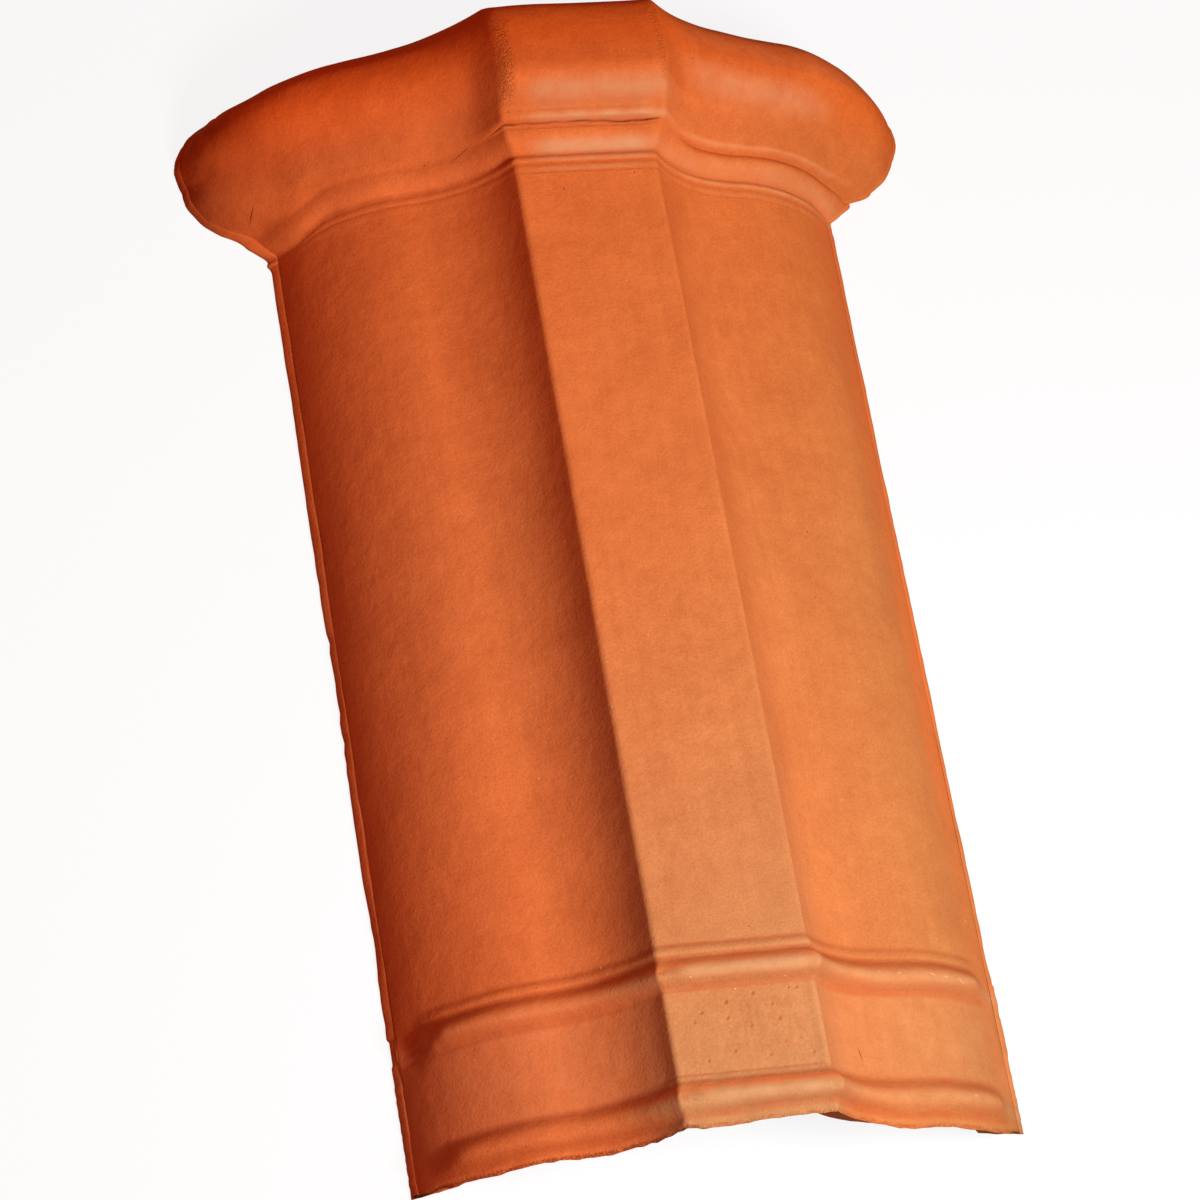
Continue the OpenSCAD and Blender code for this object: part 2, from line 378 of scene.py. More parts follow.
# half sections joined into a skin of x, y and z
def skinOf(leftHalf, rightHalf):
    section = np.concatenate([leftHalf[:, :0:-1] * (-1, 1), rightHalf], axis=1)
    y = np.repeat(rows[:, None] - half, section.shape[1], 1)
    return np.stack([section[..., 0], y, section[..., 1]], -1)


def gridNormals(grid, least=1e-9):
    n = np.cross(np.gradient(grid, axis=1), np.gradient(grid, axis=0))
    n /= np.maximum(np.linalg.norm(n, axis=-1, keepdims=True), least)
    return n * np.sign(n[..., 2].mean())


outer = skinOf(sideGrid("left"), sideGrid("right"))
columnCount = outer.shape[1]
crown = columnCount // 2
normal = gridNormals(outer)
# where each point lies: x, s, height, and the distance over the skin from the crown
xs, height = outer[..., 0].copy(), outer[..., 2].copy()
ss = np.repeat(rows[:, None], columnCount, 1)
across = np.cumsum(np.linalg.norm(np.diff(outer, axis=1, prepend=outer[:, :1]), axis=-1), 1)
across -= across[:, crown:crown + 1]


# soft patches on the skin: amount, then from, to and soft edge in x and in s
def patches(parts):
    return sum(amount * band(xs, *xReach) * band(ss, *sReach) for amount, xReach, sReach in parts)


# marks of the pressing, drying and handling, in millimetres
marks = {
    "waves": ((0.35, 70, 3), (0.12, 19, 4)), "flatBase": 8,
    "torn": ((0.55, (-32.5, -29.5, 2.5), (421, 450, 7)), (0.3, (31.5, 33.5, 1.2), (424, 456, 4))),
    "tornWaves": ((0.15, 2.6, 51),),
    "panel": ((0.45, (-40, 26.2, 0.7), (18.6, 51, 0.7)),), "panelTop": (61, far, 6),
    "beadEnds": (11, 58), "beadEndX": (-29, 5.5), "beadEndLong": 4.5, "beadEndDrop": 1.9,
}
crack = {
    "at": 410.9, "waves": ((0.22, 17, 41), (0.08, 4, 42)), "halfWidth": 0.17, "depth": 0.8,
    "reach": (-34, 28, 4), "open": 0.7, "openWaves": ((0.3, 6, 43),),
    "rightEnd": (22, 29, 3), "rightOpen": 0.6,
}
scoop = {
    "waves": ((1, 5, 55), (0.5, 2, 56)), "from": 107.5, "edge": 1.8, "edgeWave": 1.2,
    "at": 57.5, "atWave": 1.5, "halfLong": 6.5, "depth": 2.0,
}
free = ease(height / marks["flatBase"])  # the base stays flat
lift = waves(across, ss, marks["waves"])

# open crack where the roll's rib meets the astragal
opening = band(xs, *crack["reach"]) * (crack["open"] + waves(xs, 0, crack["openWaves"]))
opening += crack["rightOpen"] * band(xs, *crack["rightEnd"])
cracked = opening * bell(ss, crack["at"] + waves(xs, 0, crack["waves"]), crack["halfWidth"])
lift -= crack["depth"] * cracked

# clay torn along the roll's rib edges when the mould came off
torn = patches(marks["torn"])
lift -= torn * waves(across, ss, marks["tornWaves"])

# the panel on the spigot's rib, pressed a little below the rib's top and left bare
ribTop = band(height, *marks["panelTop"])
lift -= patches(marks["panel"]) * ribTop
# the beads on the rib round off at their left ends
for s in marks["beadEnds"]:
    lift -= marks["beadEndDrop"] * bell(xs, *marks["beadEndX"]) * bell(ss, s, marks["beadEndLong"])

# left of the stop bead the bead breaks off and the skirt is scooped out
brokenEdge = waves(xs, ss, scoop["waves"])
scooped = ease((-xs - scoop["from"] + scoop["edgeWave"] * brokenEdge) / scoop["edge"])
scooped *= bell(ss + scoop["atWave"] * brokenEdge, scoop["at"], scoop["halfLong"])
lift -= scoop["depth"] * scooped * free
outer = outer + normal * (lift * free)[..., None]

# the head warped in drying: its left shoulder sank and slid forward, its right side rose
headWarp = {
    "reach": (426, far, 30), "flatBase": 30,
    "bands": ((1.2, (85, far, 40)), (0.6, (-30, 34, 12)), (-3.4, (-far, -60, 50))),  # rise and reach in x
    "bells": ((1.5, 44, 14), (1.0, 105, 22), (0.9, -85, 22), (-2.2, -112, 38)),  # rise, x and width
    "slideY": ((-4.5, (-136, -112, 16), (402, 418, 12)), (-0.5, (118, 138, 14), (402, 418, 12)),
               (-2.4, (-118, -75, 30), (450, far, 25)), (-1.8, (80, 125, 30), (450, far, 25))),
    "slideX": ((-2.6, (-far, -130, 12), (408, 422, 8)), (-2.0, (-far, -140, 15), (408, 424, 12)),
               (1.4, (-far, -140, 10), (452, 460, 16)), (1.9, (143, far, 25), (421, 437, 10, 25)),
               (2.2, (124, far, 12), (414, 420, 10)), (2.2, (122, far, 12), (409.5, 411.5, 4))),
}
warpRise = sum(amount * band(xs, *reach) for amount, reach in headWarp["bands"])
warpRise += sum(amount * bell(xs, at, width) for amount, at, width in headWarp["bells"])
outer[..., 2] += warpRise * band(ss, *headWarp["reach"]) * ease(outer[..., 2] / headWarp["flatBase"])
outer[..., 1] += patches(headWarp["slideY"])
outer[..., 0] += patches(headWarp["slideX"])

# chipped and crumbling spigot edge, cleaner on the rib and the right flank
spigotEdge = {
    "wearLong": 3.2, "chips": ((1, 7, 61), (0.6, 2.6, 62)), "whole": 0.1, "most": 1.3,
    "grit": ((0.5, 1.7, 63),), "gritBase": 0.5, "rib": (-22, 24, 5), "ribCalm": 0.75,
    "right": (29, far, 5), "rightCalm": 0.4, "corner": (-116, 5), "cornerChip": 1.6,
    "inward": 0.8, "back": 0.9, "ragged": ((0.5, 3.1, 64),), "calm": (-20, far, 6), "calmShare": 0.6,
    "skewLong": 12, "skew": ((3.4, (115, far, 9)), (-1.3, (-48, -14, 22)), (-1.5, (62, 92, 18)),
                             (0.9, (-far, -108, 10))),
}
wear = ease(1 - ss / spigotEdge["wearLong"])
calm = 1 - spigotEdge["calmShare"] * band(xs, *spigotEdge["calm"])
chip = np.clip(waves(across, 0, spigotEdge["chips"]) - spigotEdge["whole"], 0, spigotEdge["most"])
chip += waves(across, ss, spigotEdge["grit"]) + spigotEdge["gritBase"]
chip *= (1 - spigotEdge["ribCalm"] * band(xs, *spigotEdge["rib"])
         - spigotEdge["rightCalm"] * band(xs, *spigotEdge["right"]))
chip += spigotEdge["cornerChip"] * bell(xs, *spigotEdge["corner"])
skew = sum(amount * band(xs, *reach) for amount, reach in spigotEdge["skew"])
outer -= normal * (spigotEdge["inward"] * chip * wear * free)[..., None]
outer[..., 1] += (spigotEdge["back"] * chip + waves(across, 0, spigotEdge["ragged"]) * calm) * wear
outer[..., 1] += skew * ease(1 - ss / spigotEdge["skewLong"])
print("outer skin:", rowCount, "by", columnCount)

# inner skin: the channel, the slope up to the socket and the hollow of the roll
inside = {"waves": ((0.4, 33, 71),), "flatBase": 8}
channelFace = bodyGrown(-tile["wall"], innerCounts)
socketFace = bodyGrown(tile["socketGap"], innerCounts)
hollowFace = halfSection(grown(headCorners, -tile["wall"]), tile["headRounds"], *innerCounts)


def insideAt(s):
    climb = ease((s - tile["socketFloor"]) / tile["socketSlope"] + 1)
    reach = (rollFront if s < tile["rollCrest"] else rollBack) - tile["hollowRim"]
    arch = np.sqrt(max(1 - ((s - tile["rollCrest"]) / reach) ** 2, 0))
    return channelFace + (socketFace - channelFace) * climb + (hollowFace - socketFace) * arch


innerHalf = np.array([insideAt(s) for s in rows])
inner = skinOf(innerHalf, innerHalf)
innerCount = inner.shape[1]
innerFree = ease(inner[..., 2] / inside["flatBase"])
inner[..., 2] += waves(inner[..., 0], rows[:, None], inside["waves"]) * innerFree
inner[..., 1] += tile["endUndercut"] * np.maximum(1 - rows / tile["spigotLength"], 0)[:, None]
print("inner skin:", rowCount, "by", innerCount)

# one closed mesh: outer skin, inner skin, base strips and the two end faces
outerId = np.arange(outer[..., 0].size).reshape(rowCount, columnCount)
innerId = np.arange(inner[..., 0].size).reshape(rowCount, innerCount) + outerId.size
points = [outer.reshape(-1, 3), inner.reshape(-1, 3)]
total = outerId.size + innerId.size


def quads(grid):
    return np.stack([grid[:-1, :-1], grid[:-1, 1:], grid[1:, 1:], grid[1:, :-1]], -1).reshape(-1, 4).tolist()


faces = quads(outerId) + [f[::-1] for f in quads(innerId)]
for a, b in ((outerId[:, 0], innerId[:, 0]), (innerId[:, -1], outerId[:, -1])):
    faces += np.stack([b[:-1], a[:-1], a[1:], b[1:]], -1).tolist()

# end faces: rings between the skins, pitted and a little hollow, then a closing strip to the inner skin
endFace = {
    "ringShares": (0.1, 0.3, 0.55, 0.8), "waveSpan": 9, "waves": ((0.5, 2.2, 81), (0.4, 6, 91)), "sunk": 0.3,
    "spigotDepth": 0.9, "headDepth": 0.35,
}
columns = np.arange(columnCount)
pair = np.clip((columns - lipSteps) / 2, 0, innerCount - 1)  # inner place beside each outer column
low = np.floor(pair).astype(int)
high = np.minimum(low + 1, innerCount - 1)
for row, depth in ((0, endFace["spigotDepth"]), (rowCount - 1, -endFace["headDepth"])):
    turned = 1 if depth > 0 else -1  # faces at the head turn the other way
    beside = inner[row, low] + (inner[row, high] - inner[row, low]) * (pair - low)[:, None]
    last = outerId[row]
    for k, share in enumerate(endFace["ringShares"]):
        ring = outer[row] + (beside - outer[row]) * share
        parts = [(amount, size, seed + k) for amount, size, seed in endFace["waves"]]
        ring[:, 1] += depth * (waves(columns, share * endFace["waveSpan"], parts) + endFace["sunk"])
        here = np.arange(total, total + columnCount)
        total += columnCount
        points.append(ring)
        strip = np.stack([last[:-1], here[:-1], here[1:], last[1:]], -1).tolist()
        faces += [f[::turned] for f in strip]
        last = here
    closing = []
    for j in range(columnCount - 1):
        a, b = low[j:j + 2]
        if pair[j] == pair[j + 1]:
            closing.append([last[j], innerId[row, a], last[j + 1]])
        elif a != b:
            closing.append([last[j - 1], innerId[row, a], innerId[row, b], last[j + 1], last[j]])
    faces += [[int(v) for v in f][::turned] for f in closing]
points = np.concatenate(points) * mm

sharpAngle = 50  # degrees; a sharper turn than this is shaded as an edge
mesh = bpy.data.meshes.new("ridgeTileClay")
mesh.from_pydata(points.tolist(), [], faces)
mesh.validate()
mesh.polygons.foreach_set("use_smooth", np.ones(len(mesh.polygons), bool))
mesh.set_sharp_from_angle(angle=np.radians(sharpAngle))
ridgeTile = addObject("ridge_tile_clay", mesh)

# how hollow the skin is along the tile, for painted shade in the creases
leastStep = 0.05
skin = gridNormals(outer)
steps = np.diff(outer, axis=0)
stepLong = np.maximum(np.linalg.norm(steps, axis=-1, keepdims=True), leastStep)
turns = np.diff(steps / stepLong, axis=0) / ((stepLong[1:] + stepLong[:-1]) / 2)
hollow = (np.pad(turns, ((1, 1), (0, 0), (0, 0))) * skin).sum(-1)

# where the clay gets painted highlights, painted bounce light, painted shade in creases and cracks, or looks
# torn, as soft patches: amount, reach in x, reach in s;
# crests are an amount, s and a width, and lines have a reach in x as well
wornAndPaintedLooks = {
    "crests": ((1.0, 10.0, 2.6), (1.0, 57.0, 2.8), (1.0, 403.6, 2.6), (0.6, 399.2, 0.8), (0.5, 395.2, 0.8)),
    "crestReach": ((1.0, (-12, 20, 14)), (0.4, (36, far, 10)), (0.06, (-far, -36, 10))),
    "lines": ((0.4, (50, 112, 10), 412.0, 0.7), (0.5, (50, 112, 10), 398.9, 0.6),
              (0.75, (-14, 26, 16), 412.4, 1.2), (0.65, (-14, 26, 16), 421, 3.2),
              (0.5, (62, 96, 26), 432, 6)),
    "highlightPatches": ((0.15, (-14, 26, 16), (413, 420, 2)), (0.2, (40, far, 10), (18, 54, 8)),
             (0.2, (-far, -40, 10), (18, 54, 8)), (0.15, (56, far, 20), (448, far, 8))),
    "beadBacks": ((0.8, (-far, far, 1), (8.5, 15, 1.5)), (0.8, (-far, far, 1), (57, 62, 1.5))),
    "beadRight": (40, far, 10), "beadRightLoss": 0.6, "backFrom": 0.1, "backOver": 0.45,
    "rightEdge": ((0.4, (112, far, 11), (20, 400, 8)),), "rightEdgeMore": 1.25, "moreReach": (170, far, 80),
    "hollowFrom": 0.03, "hollowOver": 0.15, "steepFrom": 0.85, "steepOver": 0.4, "steepShade": 0.75,
    "shadeCleared": ((1.0, (40, far, 10), (412, 424, 2)), (0.8, (112, far, 8), (-far, far, 1)),
              (0.5, (34, far, 8), (392, 412, 2))),
    "rollEndShade": ((0.7, (-far, -147, 35), (410, 463, 4)),),
    "headShade": ((0.25, (-far, -146, 30), (416, 463, 6)),), "cornerX": (-115, 4), "cornerS": (0, 2.5),
    "tornEdge": (-far, 0, 2.6),
    "pins": ((1.0, (-21, 23, 3), (21, 49, 1)),), "scars": ((1.0, (-6, 20, 5), (28, 44, 4)),),
}
# painted highlights: pale bands on the bead crests, the astragal, the fine beads, the roll's front and its
# right hump, where the lamp's sheen falls, full on the rib, weaker on the right and faint on the shaded left
paintedHighlight = sum(amount * bell(ss, at, width) for amount, at, width in wornAndPaintedLooks["crests"])
paintedHighlight *= sum(amount * band(xs, *reach) for amount, reach in wornAndPaintedLooks["crestReach"])
paintedHighlight += sum(
    amount * band(xs, *reach) * bell(ss, at, width) for amount, reach, at, width in wornAndPaintedLooks["lines"])
paintedHighlight += patches(wornAndPaintedLooks["highlightPatches"])
# painted bounce light: warmer, brighter clay on the bead backs turned from the lamp and on the shaded right
# wall, less on the right flank's beads
backFacing = ease((skin[..., 1] - wornAndPaintedLooks["backFrom"]) / wornAndPaintedLooks["backOver"])
paintedBounce = patches(wornAndPaintedLooks["beadBacks"]) * backFacing
paintedBounce *= 1 - wornAndPaintedLooks["beadRightLoss"] * band(xs, *wornAndPaintedLooks["beadRight"])
paintedBounce += patches(wornAndPaintedLooks["rightEdge"]) * (1 + wornAndPaintedLooks["rightEdgeMore"] * band(ss, *wornAndPaintedLooks["moreReach"]))
# painted shade: darker clay in the creases and on steep faces, cleared where the lamp lights the roll's foot,
# the right lip and the head's fine beads
paintedShade = np.clip((hollow - wornAndPaintedLooks["hollowFrom"]) / wornAndPaintedLooks["hollowOver"], 0, 1)
paintedShade += wornAndPaintedLooks["steepShade"] * ease((wornAndPaintedLooks["steepFrom"] - skin[..., 2]) / wornAndPaintedLooks["steepOver"])
for clean in wornAndPaintedLooks["shadeCleared"]:
    paintedShade *= 1 - patches([clean])
looks = {
    # painted shade also darkens the roll's left end, turned from the lamp
    "paintedHighlightClay": paintedHighlight, "paintedBounceClay": paintedBounce, "paintedCreaseShade": paintedShade + patches(wornAndPaintedLooks["rollEndShade"]),
    "crackShade": (cracked + bell(xs, *wornAndPaintedLooks["cornerX"]) * bell(ss, *wornAndPaintedLooks["cornerS"])
                   + patches(wornAndPaintedLooks["headShade"])),
    "tornClay": torn + band(ss, *wornAndPaintedLooks["tornEdge"]) * calm,
    "panelFace": patches(wornAndPaintedLooks["pins"]) * ribTop, "panelPatch": patches(wornAndPaintedLooks["scars"]) * ribTop,
}
for name, amount in looks.items():
    value = np.zeros(len(points), np.float32)
    value[:outerId.size] = np.clip(amount, 0, 1).ravel()
    mesh.attributes.new(name, "FLOAT", "POINT").data.foreach_set("value", value)
print("mesh:", len(mesh.vertices), "points,", sum(len(p.vertices) - 2 for p in mesh.polygons), "triangles")

# pressed terracotta, fired unglazed: dry, matte, finely grained, pale and yellower at the spigot,
# flashed redder at the head, with pale grog specks, pinholes and drag streaks from the mould
clay = {
    # shares of the length and their colours
    "flashing": ((0.0, "#c67542"), (0.5, "#da7e44"), (0.855, "#f2803e"), (0.905, "#e4763a"),
                 (0.96, "#fb7028")),
    # each side's tints at the spigot and at the head, full at sideReach millimetres from the middle: painted
    # light and shade, redder on the shaded left side and less red on the lit right side
    "left": ((1.36, 0.93, 0.80, 1), (1.05, 1.01, 1.05, 1)),
    "right": ((0.81, 1.0, 1.04, 1), (0.87, 0.99, 1.03, 1)), "sideReach": 110,
    "ribWorn": "#b98456", "ribWornHeights": (50, 65), "ribWornMost": 0.9,
    # painted highlight colours at the spigot and at the head
    "highlightSpigot": "#bf8e62", "highlightHead": "#e2a878",
    # tones: painted bounce light for shaded bead backs and the right wall, dust for the panel's scars and
    # painted shade in creases, painted shade in cracks, torn clay, pale grog specks and pinholes
    "paintedBounce": "#e67a3c", "dustAndShade": "#a8421a", "crack": "#38180c", "torn": "#94360f", "speck": "#dba070",
    "pinhole": "#8f4018",
    # millimetres, detail, and the tints between which the colour varies; the real grain is finer than
    # the picture can show, so it is drawn coarser
    "noises": {"mottle": (26, 3, (0.84, 0.78, 0.75, 1), (1.10, 1.18, 1.20, 1)),
               "cloud": (7, 4, (0.88, 0.84, 0.82, 1), (1.09, 1.14, 1.16, 1)),
               "streak": ((3, 70, 3), 2, (0.94, 0.91, 0.89, 1), (1.05, 1.08, 1.09, 1)),
               "grain": (0.9, 2, (0.80, 0.74, 0.70, 1), (1.18, 1.26, 1.30, 1))},
    "noiseRoughness": {"mottle": 0.55, "cloud": 0.55, "streak": 0.5, "grain": 0.55},
    "crumbMm": 0.8, "crumbRange": (0.46, 0.60), "fineDetail": 3,
    "scarMm": (2.2, 3.6, 3.6), "scarTurn": 0.4, "scarRange": (0.44, 0.66),
    "pinMm": 9.5, "pinRandomness": 0.8, "pinRange": (0.11, 0.02),
    # attribute, pattern, tone and strength; besides stains, these lay painted highlights, painted bounce
    # light and painted shade
    "stainsAndPaintedLight": (("paintedBounceClay", "cloud", "paintedBounce", 1.5), ("paintedHighlightClay", "cloud", "highlightTone", 1.6),
               ("paintedCreaseShade", "cloud", "dustAndShade", 0.8), ("crackShade", "cloud", "crack", 1.7),
               ("tornClay", "crumbs", "torn", 0.5), ("panelFace", "pins", "torn", 0.12),
               ("panelPatch", "scars", "dustAndShade", 0.2)),
    # hair cracks and pale chips: tone, x, s, turn in degrees, half length and half width
    "nicks": (("crack", -125.8, 410.7, -15, 2.7, 0.3), ("crack", -46.8, 410.2, -66, 4.6, 0.15),
              ("crack", 46, 26.5, 8, 2.6, 0.25), ("speck", 82, 57.2, 70, 1.5, 0.4),
              ("speck", 88, 56.6, 100, 1.1, 0.35), ("speck", 68, 57.6, 85, 0.8, 0.4),
              ("speck", 95, 56.0, 60, 1.6, 0.3), ("speck", 60, 58.0, 20, 0.6, 0.4),
              ("speck", 91, 10.4, 80, 0.9, 0.4)),
    "nickHeight": (30, 200), "nickRange": (1.2, 0.4), "nickMost": 0.75,
    # tone, millimetres between dots, shift of the pattern and largest dot as a share of the spacing
    "dots": (("speck", 9, 0.0, 0.045), ("pinhole", 10, 3.7, 0.036)),
    "roughness": (0.72, 0.88), "ior": 1.5, "specular": 0.03,
    # pattern, millimetres deep, and whether it is sunk
    "bumps": (("grain", 0.13, False), ("cloud", 0.45, False), ("tornClay", 0.5, True),
              ("panelFace", 0.35, True)),
}
material = bpy.data.materials.new("terracotta_pressed_unglazed")
material.use_nodes = True
tree = material.node_tree
tree.nodes.clear()


# pattern scale for a size in millimetres
def perMm(size):
    return 1000 / size


spot = addNode(tree, "ShaderNodeTexCoord").outputs["Object"]
axes = addNode(tree, "ShaderNodeSeparateXYZ", {0: spot}).outputs
alongTile = addNode(tree, "ShaderNodeMapRange", {
    "Value": axes["Y"], "From Min": -half * mm, "From Max": half * mm}).outputs[0]
acrossTile = addNode(tree, "ShaderNodeMapRange", {
    "Value": axes["X"], "From Min": -clay["sideReach"] * mm, "From Max": clay["sideReach"] * mm}).outputs[0]

# the kiln's colours along the tile, and on its two sides painted light and shade: redder on the shaded left,
# less red on the lit right
flashing = addNode(tree, "ShaderNodeValToRGB", {"Fac": alongTile})
stops = flashing.color_ramp.elements
stops.remove(stops[-1])
for at, tone in clay["flashing"][1:]:
    stops.new(at).color = linear(tone)
stops[0].color = linear(clay["flashing"][0][1])
leftShadeTint, rightLitTint = (addNode(tree, "ShaderNodeMix", {
    0: alongTile, 6: clay[side][0], 7: clay[side][1]}, data_type="RGBA").outputs[2] for side in sides)
sideLightTint = addNode(tree, "ShaderNodeMix", {
    0: acrossTile, 6: leftShadeTint, 7: rightLitTint}, data_type="RGBA").outputs[2]
colour = addNode(tree, "ShaderNodeMix", {0: 1.0, 6: flashing.outputs[0], 7: sideLightTint},
                 data_type="RGBA", blend_type="MULTIPLY").outputs[2]

# the rib's top is worn pale towards the spigot
ribLow, ribHigh = clay["ribWornHeights"]
onTop = addNode(tree, "ShaderNodeMapRange", {
    "Value": axes["Z"], "From Min": ribLow * mm, "From Max": ribHigh * mm}).outputs[0]
nearSpigot = addNode(tree, "ShaderNodeMapRange", {
    "Value": axes["Y"], "From Min": 0.0, "From Max": -half * mm, "To Max": clay["ribWornMost"]}).outputs[0]
worn = addNode(tree, "ShaderNodeMath", {0: onTop, 1: nearSpigot}, operation="MULTIPLY").outputs[0]
colour = addNode(tree, "ShaderNodeMix", {
    0: worn, 6: colour, 7: linear(clay["ribWorn"])}, data_type="RGBA").outputs[2]

# mottle, cloud, drag streaks and grain
patterns = {}
for name, (size, detail, dark, pale) in clay["noises"].items():
    scale = perMm(np.array(size) * np.ones(3))
    scaled = addNode(tree, "ShaderNodeMapping", {"Vector": spot, "Scale": scale}).outputs[0]
    patterns[name] = addNode(tree, "ShaderNodeTexNoise", {
        "Vector": scaled, "Scale": 1.0, "Detail": detail,
        "Roughness": clay["noiseRoughness"][name]}).outputs[0]
    tint = addNode(tree, "ShaderNodeMix", {0: patterns[name], 6: dark, 7: pale}, data_type="RGBA").outputs[2]
    colour = addNode(tree, "ShaderNodeMix", {0: 1.0, 6: colour, 7: tint},
                     data_type="RGBA", blend_type="MULTIPLY").outputs[2]

# crumbs of torn clay, scars and pin dimples
crumbs = addNode(tree, "ShaderNodeTexNoise", {
    "Vector": spot, "Scale": perMm(clay["crumbMm"]), "Detail": clay["fineDetail"]}).outputs[0]
scraped = addNode(tree, "ShaderNodeMapping", {
    "Vector": spot, "Scale": perMm(np.array(clay["scarMm"])),
    "Rotation": (0, 0, clay["scarTurn"])}).outputs[0]
scars = addNode(tree, "ShaderNodeTexNoise", {
    "Vector": scraped, "Scale": 1.0, "Detail": clay["fineDetail"]}).outputs[0]
pins = addNode(tree, "ShaderNodeTexVoronoi", {
    "Vector": spot, "Scale": perMm(clay["pinMm"]), "Randomness": clay["pinRandomness"]},
    voronoi_dimensions="2D").outputs["Distance"]
for name, pattern, limits in (
        ("crumbs", crumbs, "crumbRange"), ("scars", scars, "scarRange"), ("pins", pins, "pinRange")):
    patterns[name] = addNode(tree, "ShaderNodeMapRange", {
        "Value": pattern, "From Min": clay[limits][0], "From Max": clay[limits][1]}).outputs[0]

# stains, wear, painted highlights, painted bounce light and painted shade where the skin's own attributes put
# them
tones = {name: linear(clay[name]) for name in ("paintedBounce", "dustAndShade", "crack", "torn", "speck", "pinhole")}
# the painted highlight's colour, brighter at the head where less lamp light falls
tones["highlightTone"] = addNode(tree, "ShaderNodeMix", {
    0: alongTile, 6: linear(clay["highlightSpigot"]), 7: linear(clay["highlightHead"])}, data_type="RGBA").outputs[2]
for name, pattern, tone, most in clay["stainsAndPaintedLight"]:
    reach = addNode(tree, "ShaderNodeAttribute", attribute_name=name).outputs["Fac"]
    patterns[name] = addNode(tree, "ShaderNodeMath", {
        0: reach, 1: patterns[pattern]}, operation="MULTIPLY").outputs[0]
    share = addNode(tree, "ShaderNodeMath", {
        0: patterns[name], 1: most}, operation="MULTIPLY", use_clamp=True).outputs[0]
    colour = addNode(tree, "ShaderNodeMix", {
        0: share, 6: colour, 7: tones[tone]}, data_type="RGBA").outputs[2]
for tone, x, s, turn, halfLong, halfWide in clay["nicks"]:
    middle, tall = clay["nickHeight"]
    local = addNode(tree, "ShaderNodeMapping", {
        "Vector": spot, "Location": (x * mm, (s - half) * mm, middle * mm),
        "Rotation": (0, 0, np.radians(turn)), "Scale": (halfWide * mm, halfLong * mm, tall * mm)},
        vector_type="TEXTURE").outputs[0]
    away = addNode(tree, "ShaderNodeVectorMath", {0: local}, operation="LENGTH").outputs["Value"]
    share = addNode(tree, "ShaderNodeMapRange", {
        "Value": away, "From Min": clay["nickRange"][0], "From Max": clay["nickRange"][1],
        "To Max": clay["nickMost"]}).outputs[0]
    colour = addNode(tree, "ShaderNodeMix", {
        0: share, 6: colour, 7: tones[tone]}, data_type="RGBA").outputs[2]
for tone, size, shift, largest in clay["dots"]:
    moved = addNode(tree, "ShaderNodeMapping", {"Vector": spot, "Location": (shift, shift, 0)}).outputs[0]
    cells = addNode(tree, "ShaderNodeTexVoronoi", {"Vector": moved, "Scale": perMm(size)}).outputs
    chance = addNode(tree, "ShaderNodeSeparateColor", {0: cells["Color"]}).outputs[0]
    radius = addNode(tree, "ShaderNodeMath", {0: chance, 1: largest}, operation="MULTIPLY").outputs[0]
    isDot = addNode(tree, "ShaderNodeMath", {
        0: cells["Distance"], 1: radius}, operation="LESS_THAN").outputs[0]
    colour = addNode(tree, "ShaderNodeMix", {
        0: isDot, 6: colour, 7: tones[tone]}, data_type="RGBA").outputs[2]

# dry matte face with a fine tooth
matte = addNode(tree, "ShaderNodeMapRange", {
    "Value": patterns["cloud"], "To Min": clay["roughness"][0], "To Max": clay["roughness"][1]}).outputs[0]
shader = addNode(tree, "ShaderNodeBsdfPrincipled", {
    "Base Color": colour, "Roughness": matte, "IOR": clay["ior"], "Specular IOR Level": clay["specular"]})
under = None
for name, deep, sunk in clay["bumps"]:
    bumped = addNode(tree, "ShaderNodeBump", {
        "Height": patterns[name], "Strength": 1.0, "Distance": deep * mm}, invert=sunk)
    if under:
        tree.links.new(under, bumped.inputs["Normal"])
    under = bumped.outputs[0]
tree.links.new(under, shader.inputs["Normal"])
addNode(tree, "ShaderNodeOutputMaterial", {"Surface": shader.outputs[0]})
mesh.materials.append(material)
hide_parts("ridge_tile")
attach(ridgeTile, "root")
print("clay material set")

# floor, lamps and background, in metres and watts
studio = {
    "floorHalf": 4.0, "floorDrop": 0.0002, "floorBounce": "#8c7668", "floorWhite": 0.88,
    "white": "#ffffff", "fill": "#ff8276", "fillStrength": 0.225, "aim": (0.0, 0.0, 0.04),
    "keySoftbox": {"place": (0.265, -0.3735, 0.58), "size": 0.25, "power": 5.9, "colour": "#ffffff"},
    "backFill": {"place": (-0.95, -0.25, 0.25), "size": 0.6, "power": 0.68, "colour": "#ffb4a0"},
}
edge = studio["floorHalf"]
floorMesh = bpy.data.meshes.new("studioFloor")
floorMesh.from_pydata([(-edge, -edge, 0), (edge, -edge, 0), (edge, edge, 0), (-edge, edge, 0)],
                      [], [(0, 1, 2, 3)])
floor = addObject("studio_floor", floorMesh)
floor.location.z = -studio["floorDrop"]

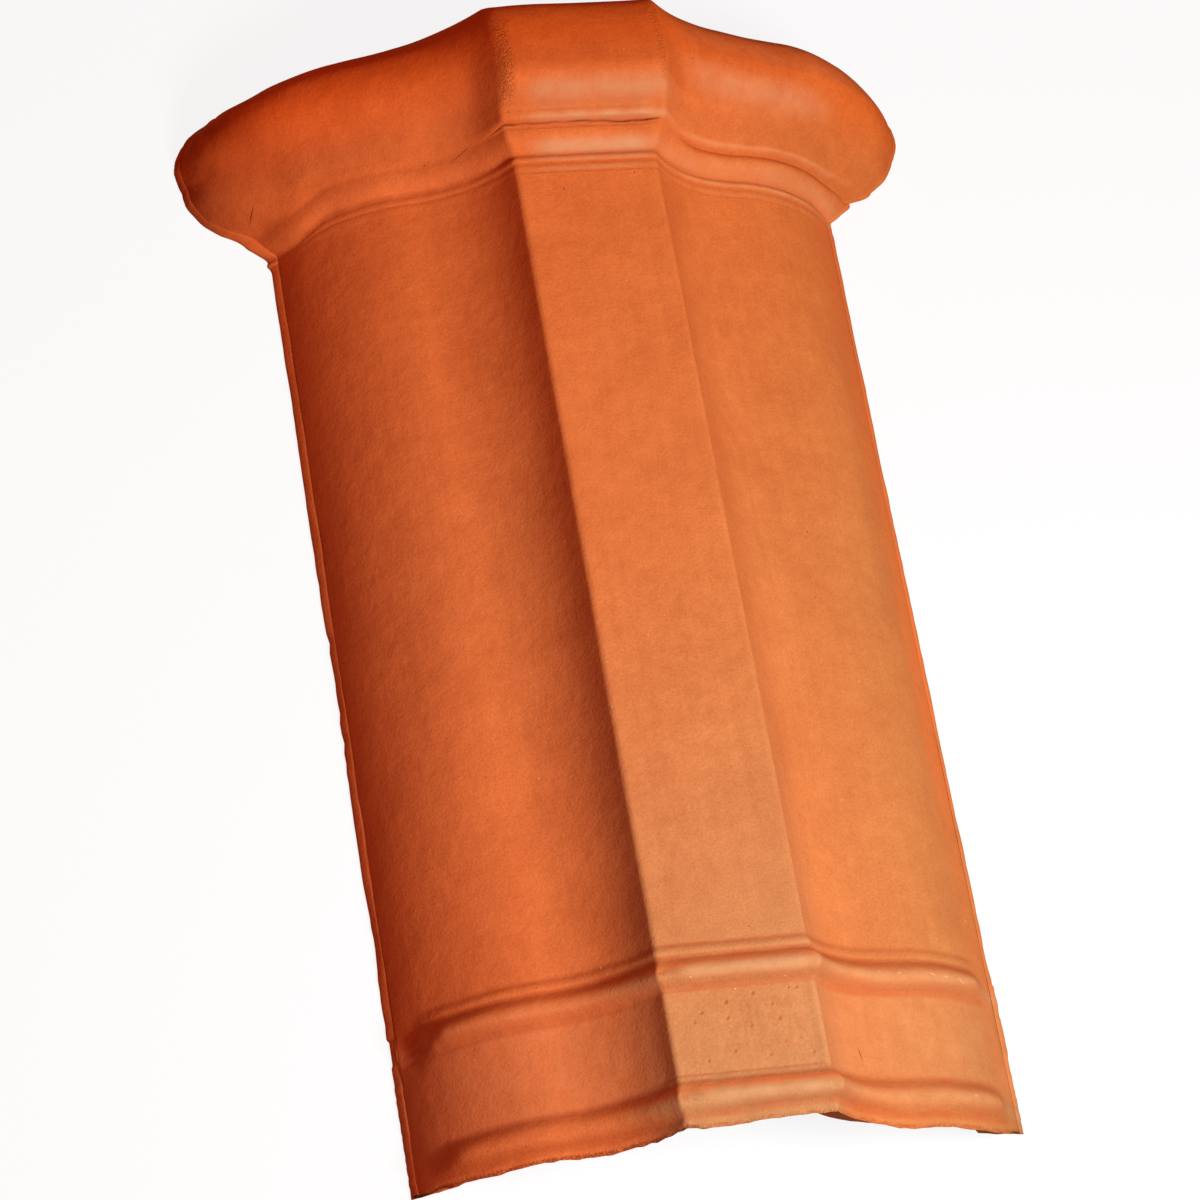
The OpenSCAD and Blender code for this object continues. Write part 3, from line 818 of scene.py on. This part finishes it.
# painted board, matte white: it shows white and keeps part of the tile's shadow
board = bpy.data.materials.new("studio_board_matte_white")
world = bpy.data.worlds.new("studioRoom")
for lit in (board, world):
    lit.use_nodes = True
    lit.node_tree.nodes.clear()
floorMesh.materials.append(board)
bpy.context.scene.world = world
white = linear(studio["white"])
tree = board.node_tree
bounce = addNode(tree, "ShaderNodeBsdfDiffuse", {"Color": linear(studio["floorBounce"])})
paint = addNode(tree, "ShaderNodeBsdfDiffuse", {"Color": white})
glow = addNode(tree, "ShaderNodeEmission", {"Color": white, "Strength": 1.0})
shown = addNode(tree, "ShaderNodeMixShader", {
    0: studio["floorWhite"], 1: paint.outputs[0], 2: glow.outputs[0]})
tree = world.node_tree
fill = addNode(tree, "ShaderNodeBackground", {
    "Color": linear(studio["fill"]), "Strength": studio["fillStrength"]})
plain = addNode(tree, "ShaderNodeBackground", {"Color": white, "Strength": 1.0})
# camera, glossy and transmission rays see the white background, others the light of the room
for tree, forLight, forSight, output in (
        (board.node_tree, bounce, shown, "ShaderNodeOutputMaterial"),
        (world.node_tree, fill, plain, "ShaderNodeOutputWorld")):
    rays = addNode(tree, "ShaderNodeLightPath").outputs
    seen = rays["Is Camera Ray"]
    for kind in ("Is Glossy Ray", "Is Transmission Ray"):
        seen = addNode(tree, "ShaderNodeMath", {
            0: seen, 1: rays[kind]}, operation="ADD", use_clamp=True).outputs[0]
    mixed = addNode(tree, "ShaderNodeMixShader", {0: seen, 1: forLight.outputs[0], 2: forSight.outputs[0]})
    addNode(tree, output, {"Surface": mixed.outputs[0]})

# round soft lamps aimed at the tile
for name in ("keySoftbox", "backFill"):
    lamp = studio[name]
    light = bpy.data.lights.new(name, "AREA")
    light.shape = "DISK"
    light.size = lamp["size"]
    light.energy = lamp["power"]
    light.color = linear(lamp["colour"])[:3]
    back = unit(np.subtract(lamp["place"], studio["aim"]))
    right = unit(np.cross((0, 0, 1.0), back))
    setAxes(addObject(name, light), right, np.cross(back, right), back, lamp["place"])
bpy.context.scene.view_settings.view_transform = "Standard"
print("studio set")
